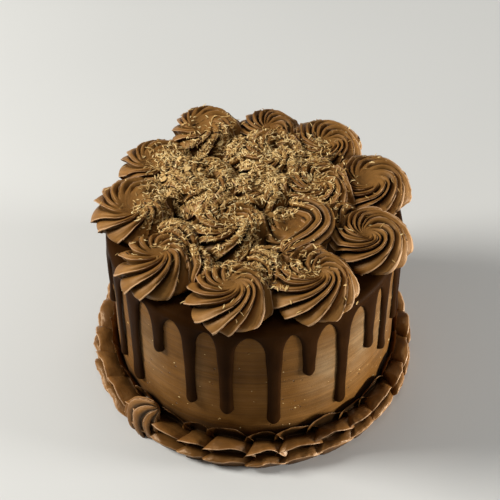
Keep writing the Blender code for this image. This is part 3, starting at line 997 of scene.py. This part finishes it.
def build_shell(index, mat):
    step = 2.0 * math.pi / SHELLS
    jitter = 0.10 * math.sin(2.7 * index + 0.6)
    ahead = 0.10 * math.sin(2.7 * (index + 1) + 0.6)
    a0 = (index + jitter) * step
    a1 = (index + 1 + ahead) * step
    big = 1.0 + 0.06 * math.sin(4.1 * index + 1.0)
    fall = 0.20 + 0.14 * math.sin(5.3 * index + 2.0)
    sway = 0.5 + 0.5 * math.sin(3.3 * index + 0.4)
    pts, near, open_ = shell_profile()
    t = np.concatenate([np.linspace(-0.12, 0.06, 13),
                        np.linspace(0.06, 1.0, 24)[1:]])[:, None]
    size = curve([-0.12, -0.08, -0.02, 0.10, 0.34, 0.70, 1.0],
                 [0.50, 0.84, 1.00, 1.05, 1.03, 1.00 - 0.35 * fall,
                  0.96 - fall], t)
    w, h = pts[None, :, 0], pts[None, :, 1]
    k = near[None, :]
    a = a0 + (a1 - a0) * t
    # each crest starts further back and hooks over the shell before it
    curl = smooth(0.14, -0.12, t)
    a = a - 0.26 * step * k ** 1.3 * curl * smooth(2.0, 7.0, h)
    wob = 1.0 + 0.06 * noise(index * 5.3 + 0 * t, t * 2.2, w * 2.0, 201)
    z = h * size * big * wob
    # the crests ripple along the shell
    wave = np.sin(np.pi * np.clip(t, 0, 1) * (1.1 + 0.5 * sway)) \
        - 0.5 * smooth(0.6, 1.0, t)
    z = z + (1.2 + 1.3 * sway) * k * wave * smooth(3.0, 9.0, h)
    z = z - 1.2 * k * curl * smooth(9.0, 14.0, h)
    z = np.maximum(z, 0.0)
    reach = (SHELL_R - wall_clear(a, 0.0)) * (0.40 + 0.60 * size)
    reach = reach * np.minimum(1.0, 1.02 - 0.03 * (1 - big))
    push = 1.0 + 0.06 * k * np.sin(2 * np.pi * np.clip(t, 0, 1) + index)
    r = wall_clear(a, z / 1000.0) + np.minimum(
        reach * w * (0.97 + 0.03 * big) * wob * push,
        (SHELL_R - wall_clear(a, 0.0)) * 1.03)
    x = SHELL_OFF_X + r * np.cos(a)
    y = r * np.sin(a)
    mm = 1000.0
    soft = smooth(0.0, 3.0, z)
    dx = 0.40 * soft * noise(x * mm / 5, y * mm / 5, z / 5, 211)
    dz = 0.40 * soft * noise(x * mm / 5, y * mm / 5, z / 5, 213)
    rough = 0.26 * k * soft * noise(x * mm / 1.1, y * mm / 1.1, z / 1.1, 215)
    x = x + (dx + rough) / mm * np.cos(a)
    y = y + (dx + rough) / mm * np.sin(a)
    z = np.maximum(z + dz + rough, 0.0)
    verts = np.stack([x, y, z / mm], -1)
    rows, cols = verts.shape[:2]
    verts = verts.reshape(-1, 3)
    quads = grid_faces(rows, cols, True)[:, ::-1]
    head = verts[:cols].mean(0)
    tail = verts[(rows - 1) * cols:].mean(0)
    verts = np.concatenate([verts, [head, tail]])
    c = np.arange(cols)
    n = (c + 1) % cols
    last = (rows - 1) * cols
    hi, ti = len(verts) - 2, len(verts) - 1
    tris = np.concatenate([
        np.stack([np.full(cols, hi), n, c], -1),
        np.stack([np.full(cols, ti), last + c, last + n], -1)])
    flow = np.stack([np.arange(cols)[None, :] * 0.55 + 0 * t,
                     t * 3.0 + 0 * w,
                     np.full((rows, cols), index * 5.0)], -1).reshape(-1, 3)
    # painted shade under the fins, at the head and where the next shell covers the tail; painted highlight on the
    # crests
    crest = (open_[None, :] * (1 - 0.55 * smooth(0.86, 1.0, t))
             * (1 - 0.5 * smooth(-0.05, -0.12, t))).reshape(-1)
    flow = np.concatenate([flow, flow[:1], flow[:1]])
    crest = np.concatenate([crest, [0.1, 0.1]])
    return mesh_piece("piped_shell_%02d" % (index + 1), verts, [quads, tris],
                      mat, ("shell_%02d" % (index + 1),),
                      {"crest": crest}, {"flow": flow})


# ---------------------------------------------------------------- toppings
def ground_tree(obs):
    """One search tree over several shown meshes."""
    verts, faces, base = [], [], 0
    for ob in obs:
        me = ob.data
        co = np.zeros(len(me.vertices) * 3, np.float32)
        me.vertices.foreach_get("co", co)
        verts.append(co.reshape(-1, 3))
        me.calc_loop_triangles()
        tri = np.zeros(len(me.loop_triangles) * 3, np.int32)
        me.loop_triangles.foreach_get("vertices", tri)
        faces.append(tri.reshape(-1, 3) + base)
        base += len(co) // 3
    verts = np.concatenate(verts).tolist()
    faces = np.concatenate(faces).tolist()
    return BVHTree.FromPolygons(verts, faces, all_triangles=True)


# outline of the grated chocolate seen from above, in millimetres, and the
# places inside it where it lies thinner: centre x, y, radii, turn, keep
OUTLINE = np.array([
    (-60, -22), (-52, -31), (-44, -37), (-36, -41), (-29, -49), (-21, -56),
    (-8, -60), (0, -60), (8, -62), (17, -60), (28, -58), (38, -51),
    (35, -43), (22, -38), (10, -33), (8, -26), (18, -14), (30, -8), (37, -12), (44, -14), (50, -5), (50, 8), (50, 22),
    (46, 34), (42, 44), (34, 52), (24, 54), (12, 56), (4, 61), (-8, 60),
    (-14, 67), (-24, 72), (-36, 70), (-40, 60), (-44, 50), (-54, 42),
    (-58, 30), (-57, 20), (-60, 10), (-63, -2), (-62, -12)], float)
THINNER = [
    (-32, 62, 17, 13, 0, 0.12), (14, -22, 14, 9, 10, 0.40),
    (-10, -12, 14, 6, 10, 0.50), (-38, -27, 12, 6, -20, 0.70),
    (40, 24, 14, 9, -35, 0.55), (-20, -38, 10, 8, 0, 0.60),
    (-52, -10, 7, 12, 0, 0.70), (4, 60, 14, 5, 0, 0.60),
    (46, 10, 8, 20, 0, 0.40), (36, -18, 9, 12, 0, 0.22),
    (30, 6, 12, 8, 0, 0.60), (-24, -2, 8, 6, 0, 0.60),
    (24, -34, 10, 6, 35, 0.25), (-16, 3, 12, 5, 0, 0.60),
    (30, -50, 16, 10, 0, 0.45), (-14, -56, 12, 6, 0, 0.70),
]


def amount_at(x, y):
    """How thickly the grated chocolate lies at a point, from 0 to 1."""
    a, b = OUTLINE, np.roll(OUTLINE, -1, 0)
    px, py = x[:, None], y[:, None]
    ex, ey = b[:, 0] - a[:, 0], b[:, 1] - a[:, 1]
    k = np.clip(((px - a[:, 0]) * ex + (py - a[:, 1]) * ey)
                / (ex * ex + ey * ey), 0, 1)
    away = np.hypot(px - a[:, 0] - k * ex, py - a[:, 1] - k * ey).min(1)
    cross = ((a[:, 1] > py) != (b[:, 1] > py)) & (
        px < ex * (py - a[:, 1]) / np.where(ey == 0, 1e-9, ey) + a[:, 0])
    inside = np.where(cross.sum(1) % 2 == 1, away, -away)
    much = smooth(-7.0, 13.0, inside + 4.0 * noise(x / 6, y / 6, 0.5, 303))
    for cx, cy, ra, rb, turn, keep in THINNER:
        c, s = math.cos(math.radians(turn)), math.sin(math.radians(turn))
        dx, dy = x - cx, y - cy
        d = np.hypot((dx * c + dy * s) / ra, (-dx * s + dy * c) / rb)
        much = much * (1 - (1 - keep) * smooth(1.25, 0.7, d))
    patch = 0.75 + 0.80 * noise(x / 6, y / 6, 0.5, 301)
    return np.clip(much * patch, 0, 1)


def scatter(tree, count, rng, rule, spread=86.0):
    """Points on the top surface, kept by rule(x, y), with their normals."""
    found = []
    for _ in range(60):
        p = rng.uniform(-spread, spread, (4 * count, 2))
        p = p[np.hypot(p[:, 0], p[:, 1]) < spread]
        p = p[rng.random(len(p)) < rule(p[:, 0], p[:, 1])]
        for x, y in p:
            hit, normal, _, _ = tree.ray_cast(
                Vector((x / 1000, y / 1000, 0.2)), Vector((0, 0, -1)))
            if hit is None or hit.z < TOP_H - 0.002:
                continue
            # few stay on the steep sides
            if rng.random() > 0.12 + 0.88 * min(max(
                    (normal.z - 0.30) / 0.40, 0), 1):
                continue
            found.append((hit, normal))
            if len(found) >= count:
                return found
    return found


class Bed:
    """The surface smoothed over the grooves, on which a thick layer lies."""

    def __init__(self, tree, half=88, blur=2.6):
        self.half = half
        n = 2 * half + 1
        grid = np.full((n, n), TOP_H * 1000)
        for i in range(n):
            for k in range(n):
                x, y = i - half, k - half
                hit = tree.ray_cast(Vector((x / 1000, y / 1000, 0.2)),
                                    Vector((0, 0, -1)))[0]
                if hit is not None:
                    grid[i, k] = max(hit.z * 1000, TOP_H * 1000 - 2)
        reach = np.arange(-8, 9)
        kernel = np.exp(-0.5 * (reach / blur) ** 2)
        kernel /= kernel.sum()
        for axis in (0, 1):
            grid = np.apply_along_axis(
                lambda v: np.convolve(np.pad(v, 8, mode="edge"), kernel,
                                      mode="valid"), axis, grid)
        self.grid = grid

    def at(self, x, y):
        """Height and slope at a point, in millimetres."""
        fx, fy = x + self.half, y + self.half
        i = int(min(max(math.floor(fx), 1), 2 * self.half - 2))
        k = int(min(max(math.floor(fy), 1), 2 * self.half - 2))
        u, v = fx - i, fy - k
        g = self.grid
        z = (g[i, k] * (1 - u) * (1 - v) + g[i + 1, k] * u * (1 - v)
             + g[i, k + 1] * (1 - u) * v + g[i + 1, k + 1] * u * v)
        gx = (g[i + 1, k] - g[i - 1, k]) / 2
        gy = (g[i, k + 1] - g[i, k - 1]) / 2
        return z, gx, gy


def lay_on(bed, spots, rng, reach):
    """Lift the bits in the grooves towards the smoothed bed, more where the
    layer is thick, and turn them to lie along it."""
    if not spots:
        return spots
    xs = np.array([p.x for p, _ in spots]) * 1000
    ys = np.array([p.y for p, _ in spots]) * 1000
    much = amount_at(xs, ys)
    laid = []
    for (hit, normal), x, y, a in zip(spots, xs, ys, much):
        z, gx, gy = bed.at(x, y)
        share = 0.7 * float(np.clip(a * 1.3 - 0.25, 0, 1))
        level = hit.z * 1000
        # few bits end up in a groove
        if rng.random() < 0.92 * min(max((z - level - 0.4) / 1.2, 0), 1):
            continue
        if z > level:
            level += (z - level) * share * rng.random() ** 0.6 * reach
        flat = Vector((-gx, -gy, 1.0)).normalized()
        turn = normal.lerp(flat, 0.35 + 0.6 * share)
        laid.append((Vector((hit.x, hit.y, level / 1000)),
                     turn.normalized()))
    return laid


def frame_on(normal, yaw, tilt, rng):
    """Axes of a bit lying on a slope: along, across, up."""
    n = Vector(normal)
    n = (n + Vector((rng.normal(0, tilt), rng.normal(0, tilt),
                     0.4))).normalized()
    side = Vector((math.cos(yaw), math.sin(yaw), 0.0))
    along = (side - n * side.dot(n)).normalized()
    across = n.cross(along)
    return np.array(along), np.array(across), np.array(n)


def slivers(tree, count, seed, sizes, rule, lift, name, mat):
    """Thin bent shards of grated chocolate, three sided."""
    rng = np.random.default_rng(seed)
    spots = lay_on(bed, scatter(tree, count, rng, rule), rng, 1.0)
    verts, tones = [], []
    for hit, normal in spots:
        length = rng.uniform(*sizes[0])
        width = rng.uniform(*sizes[1])
        thick = width * rng.uniform(0.10, 0.24)
        along, across, n = frame_on(normal, rng.uniform(0, 2 * math.pi),
                                    0.22, rng)
        centre = np.array(hit) * 1000 + n * rng.uniform(*lift)
        bend = rng.normal(0, 0.16) * length
        hump = abs(rng.normal(0, 0.05)) * length
        roll = rng.uniform(-0.6, 0.6)
        for k, s in enumerate((-0.5, 0.0, 0.5)):
            wide = width * (1.0 if k == 1 else rng.uniform(0.25, 0.75))
            th = thick * (1.0 if k == 1 else 0.6)
            spot = centre + along * s * length \
                + across * bend * (0.25 - s * s) * 4 * 0.5 \
                + n * (hump * (0.25 - s * s) * 4 + 0.12)
            turn = roll * s * 2
            c, d = math.cos(turn), math.sin(turn)
            ax = across * c + n * d
            up = n * c - across * d
            verts.append(spot - ax * wide * 0.5)
            verts.append(spot + ax * wide * 0.5)
            verts.append(spot + up * th)
        tones.extend([rng.random()] * 9)
    m = len(spots)
    one_q, one_t = [], []
    for k in (0, 3):
        for i in range(3):
            j = (i + 1) % 3
            one_q.append((k + i, k + j, k + 3 + j, k + 3 + i))
    one_t = [(0, 2, 1), (6, 7, 8)]
    base = (np.arange(m) * 9)[:, None, None]
    quads = (np.array(one_q)[None] + base).reshape(-1, 4)
    tris = (np.array(one_t)[None] + base).reshape(-1, 3)
    ob = mesh_piece(name, np.array(verts) / 1000.0, [quads, tris], mat,
                    (), {"tone": tones}, flat=True)
    return ob


def crumbs(tree, count, seed, size, rule, name, mat):
    """Tiny uneven grains."""
    rng = np.random.default_rng(seed)
    spots = lay_on(bed, scatter(tree, count, rng, rule), rng, 1.0)
    verts, tones = [], []
    shape = np.array([(1, 0, 0), (0, 1, 0), (-1, 0, 0), (0, -1, 0),
                      (0, 0, 1), (0, 0, -1)], float)
    for hit, normal in spots:
        r = rng.uniform(*size) / 2
        along, across, n = frame_on(normal, rng.uniform(0, 2 * math.pi),
                                    0.4, rng)
        grow = np.array([rng.uniform(0.7, 1.6), rng.uniform(0.6, 1.1),
                         rng.uniform(0.5, 0.9)])
        pts = shape * grow * r * rng.uniform(0.75, 1.25, (6, 1))
        centre = np.array(hit) * 1000 + n * r * 0.4
        verts.append(centre + pts[:, :1] * along + pts[:, 1:2] * across
                     + pts[:, 2:3] * n)
        tones.extend([rng.random()] * 6)
    one = [(0, 1, 4), (1, 2, 4), (2, 3, 4), (3, 0, 4),
           (1, 0, 5), (2, 1, 5), (3, 2, 5), (0, 3, 5)]
    base = (np.arange(len(spots)) * 6)[:, None, None]
    tris = (np.array(one)[None] + base).reshape(-1, 3)
    return mesh_piece(name, np.concatenate(verts) / 1000.0, [tris], mat,
                      (), {"tone": tones}, flat=True)


def flakes(spots, seed, size, name, mat):
    """Thin broken plates with an uneven outline."""
    rng = np.random.default_rng(seed)
    verts, tones = [], []
    n_out = 6
    for hit, normal in spots:
        r = rng.uniform(*size) / 2
        along, across, n = frame_on(normal, rng.uniform(0, 2 * math.pi),
                                    0.25, rng)
        centre = np.array(hit) * 1000 + n * 0.5
        thick = rng.uniform(0.25, 0.45)
        stretch = rng.uniform(0.5, 0.9)
        bow = rng.uniform(-0.05, 0.08)
        ring = []
        for i in range(n_out):
            ang = 2 * math.pi * (i + rng.uniform(-0.25, 0.25)) / n_out
            rr = r * rng.uniform(0.60, 1.20)
            u, v = rr * math.cos(ang), rr * stretch * math.sin(ang)
            ring.append(centre + along * u + across * v
                        + n * bow * (r - u * u / r))
        top = [p + n * thick for p in ring]
        mid = centre + n * bow * r
        verts.extend(ring + top + [mid, mid + n * thick])
        tones.extend([rng.random()] * (2 * n_out + 2))
    m = 2 * n_out + 2
    tris, quads = [], []
    for i in range(n_out):
        j = (i + 1) % n_out
        tris += [(2 * n_out, j, i), (2 * n_out + 1, n_out + i, n_out + j)]
        quads.append((i, j, n_out + j, n_out + i))
    base = (np.arange(len(spots)) * m)[:, None, None]
    return mesh_piece(name, np.array(verts) / 1000.0,
                      [(np.array(quads)[None] + base).reshape(-1, 4),
                       (np.array(tris)[None] + base).reshape(-1, 3)], mat,
                      (), {"tone": tones}, flat=True)


# ---------------------------------------------------------------- build
body = build_body(side_material())
cap = build_ganache(ganache_material())
cream = cream_material("piped_cream", (0.180, 0.077, 0.016),
                       (0.230, 0.105, 0.024), (0.276, 0.133, 0.034))
# the same cream made darker: painted shade for the low border
border = cream_material("border_cream_piped", (0.155, 0.063, 0.014),
                        (0.205, 0.088, 0.020), (0.250, 0.114, 0.029),
                        specular=0.55, rough_at=0.30)
rosettes = [build_rosette(k, cream) for k in range(len(ROSETTES))]
rope = build_rope("piped_rope",
                  [(x, y, z + TOP_H * 1000, r) for x, y, z, r in ROPE],
                  (0, 0, 1.0), 0.92, 9, 1.0, cream, 77)
fillers = [build_rope("piped_filler_%d" % (k + 1),
                      [(x, y, z + TOP_H * 1000, r) for x, y, z, r in path],
                      (0, 0, 1.0), 0.90, 8, (0.6, -0.8)[k % 2], cream,
                      90 + k)
           for k, path in enumerate(FILLERS)]
build_rope("piped_knot",
           [(SHELL_OFF_X * 1000 + r * math.cos(math.radians(a)),
             r * math.sin(math.radians(a)), z, w) for a, r, z, w in KNOT],
           (math.cos(math.radians(223)), math.sin(math.radians(223)), 0),
           0.54, 8, 1.3, border, 78)
shells = [build_shell(k, border) for k in range(SHELLS)]

tree = ground_tree(rosettes + fillers + [rope, cap])
tan = chocolate_material("grated_chocolate", [
    (0.05, (0.300, 0.156, 0.044)), (0.30, (0.480, 0.287, 0.094)),
    (0.65, (0.690, 0.458, 0.178)), (1.00, (0.950, 0.745, 0.375))], 0.42, 0.62)
# very dark shavings: partly dark chocolate, partly painted shade for the gaps between the bits
dark = chocolate_material("dark_chocolate_and_gap_shade", [
    (0.05, (0.030, 0.014, 0.006)), (0.50, (0.075, 0.038, 0.015)),
    (1.00, (0.160, 0.095, 0.042))], 0.35, 0.55)


def heap_rule(x, y):
    return np.maximum(amount_at(x, y), 0.010)


bed = Bed(tree)
slivers(tree, 6600, 11, ((1.4, 4.1), (0.45, 0.90)), heap_rule, (0.0, 0.4),
        "grated_slivers", tan)
# dark bits, partly dark chocolate and partly painted shade between the shavings
slivers(tree, 420, 12, ((1.5, 4.0), (0.5, 1.1)), heap_rule, (0.0, 0.30),
        "dark_slivers_and_gap_shade", dark)
crumbs(tree, 1700, 13, (0.3, 0.9), heap_rule, "grated_crumbs", tan)
rng = np.random.default_rng(15)
flakes(lay_on(bed, scatter(tree, 26, rng, heap_rule), rng, 1.0), 16,
       (2.6, 5.6), "grated_flakes", tan)


def side_specks(count, seed, name, mat):
    """Crumbs caught on the side of the body."""
    rng = np.random.default_rng(seed)
    verts, tones = [], []
    shape = np.array([(1, 0, 0), (0, 1, 0), (-1, 0, 0), (0, -1, 0),
                      (0, 0, 1), (0, 0, -1)], float)
    for _ in range(count):
        az = rng.uniform(0, 2 * math.pi)
        z = rng.uniform(0.022, 0.090)
        r = body_radius(z) * 1000 + 0.05
        out = np.array([math.cos(az), math.sin(az), 0.0])
        along = np.array([-math.sin(az), math.cos(az), 0.0])
        turn = rng.uniform(-0.6, 0.6)
        u = along * math.cos(turn) + np.array([0, 0, math.sin(turn)])
        v = np.cross(out, u)
        size = rng.uniform(0.35, 0.95) / 2
        grow = np.array([rng.uniform(0.9, 2.4), rng.uniform(0.6, 1.0), 0.7])
        pts = shape * grow * size * rng.uniform(0.75, 1.25, (6, 1))
        verts.append(out * r + np.array([0, 0, z * 1000]) + pts[:, :1] * u
                     + pts[:, 1:2] * v + pts[:, 2:3] * out)
        tones.extend([rng.uniform(0.5, 1.0)] * 6)
    one = [(0, 1, 4), (1, 2, 4), (2, 3, 4), (3, 0, 4),
           (1, 0, 5), (2, 1, 5), (3, 2, 5), (0, 3, 5)]
    base = (np.arange(count) * 6)[:, None, None]
    tris = (np.array(one)[None] + base).reshape(-1, 3)
    return mesh_piece(name, np.concatenate(verts) / 1000.0, [tris], mat,
                      (), {"tone": tones}, flat=True)


side_specks(170, 21, "side_crumbs", tan)

# ---------------------------------------------------------------- stage
floor_mesh = bpy.data.meshes.new("floor")
n = 96
ring = [(9.0 * math.cos(2 * math.pi * k / n), 9.0 * math.sin(
    2 * math.pi * k / n), 0.0) for k in range(n)]
floor_mesh.from_pydata(ring, [], [tuple(range(n))])
floor_mesh.materials.append(floor_material())
floor = bpy.data.objects.new("floor", floor_mesh)
bpy.context.scene.collection.objects.link(floor)


def area_light(name, place, target, size, power, colour):
    data = bpy.data.lights.new(name, "AREA")
    data.shape = "DISK"
    data.size = size
    data.energy = power
    data.color = colour
    ob = bpy.data.objects.new(name, data)
    ob.location = place
    ob.rotation_euler = (Vector(target) - Vector(place)).to_track_quat(
        "-Z", "Y").to_euler()
    bpy.context.scene.collection.objects.link(ob)
    return ob


area_light("left", (-1.15, 0.06, 0.86), (0, 0, 0.08), 0.45, 24.0,
           (1.0, 0.97, 0.92))
area_light("right", (1.29, -0.19, 0.14), (0, 0, 0.05), 0.40, 31.0,
           (1.0, 0.98, 0.95))
area_light("top", (0.10, 0.30, 1.50), (0, 0, 0.08), 0.60, 2.5,
           (1.0, 0.98, 0.95))

world = bpy.data.worlds.new("studio")
bpy.context.scene.world = world
world.use_nodes = True
world.node_tree.nodes["Background"].inputs["Color"].default_value = (
    0.96, 0.95, 0.93, 1.0)
world.node_tree.nodes["Background"].inputs["Strength"].default_value = 0.150

view = bpy.context.scene.view_settings
view.view_transform = "Standard"
view.look = "None"

# ---------------------------------------------------------------- camera
lens = bpy.data.cameras.new("camera")
lens.sensor_width = 36.0
lens.lens = 123.245
lens.clip_start = 0.01
camera = bpy.data.objects.new("camera", lens)
bpy.context.scene.collection.objects.link(camera)
right = Vector((0.99996192, -0.00633153, -0.00600535))
above = Vector((0.00872654, 0.72552099, 0.68814471))
ahead = Vector((0.0, 0.68817091, -0.72554862))
spot = Vector((-0.002512, -0.667048, 0.785508))
camera.matrix_world = Matrix((
    (right.x, above.x, -ahead.x, spot.x),
    (right.y, above.y, -ahead.y, spot.y),
    (right.z, above.z, -ahead.z, spot.z),
    (0, 0, 0, 1)))
bpy.context.scene.camera = camera
